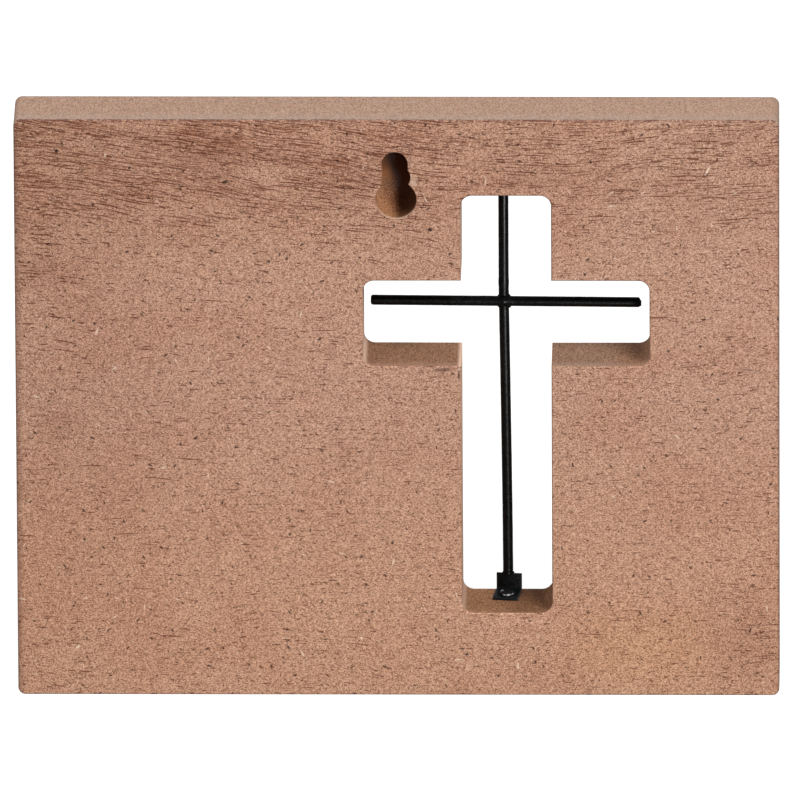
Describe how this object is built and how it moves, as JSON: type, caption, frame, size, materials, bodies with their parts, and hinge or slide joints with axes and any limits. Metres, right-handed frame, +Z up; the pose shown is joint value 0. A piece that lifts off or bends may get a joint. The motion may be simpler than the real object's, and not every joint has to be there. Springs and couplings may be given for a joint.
{
  "type": "wall plaque with a cross window",
  "caption": "Rectangular fibreboard wall plaque with a cross-shaped window, a thin black wire cross fixed inside it, and a keyhole hanger in its raw back.",
  "frame": {"origin": "middle of the board's underside, on the surface it stands on", "axes": "+X along the board's width, +Y out of its raw back (the side with the keyhole), +Z up; the plain front faces -Y"},
  "size_m": [0.2032, 0.019, 0.1629],
  "materials": {
    "board": "raw fibreboard, fine fibre speckle, matt",
    "black_wire": "black paint on welded steel wire, satin",
    "screw": "dark steel with a worn rim"
  },
  "bodies": {
    "root": {"board": "board", "upright_rod": "black_wire", "crossbar_rod": "black_wire", "foot_bracket": "black_wire", "foot_screw": "screw"}
  },
  "joints": []
}
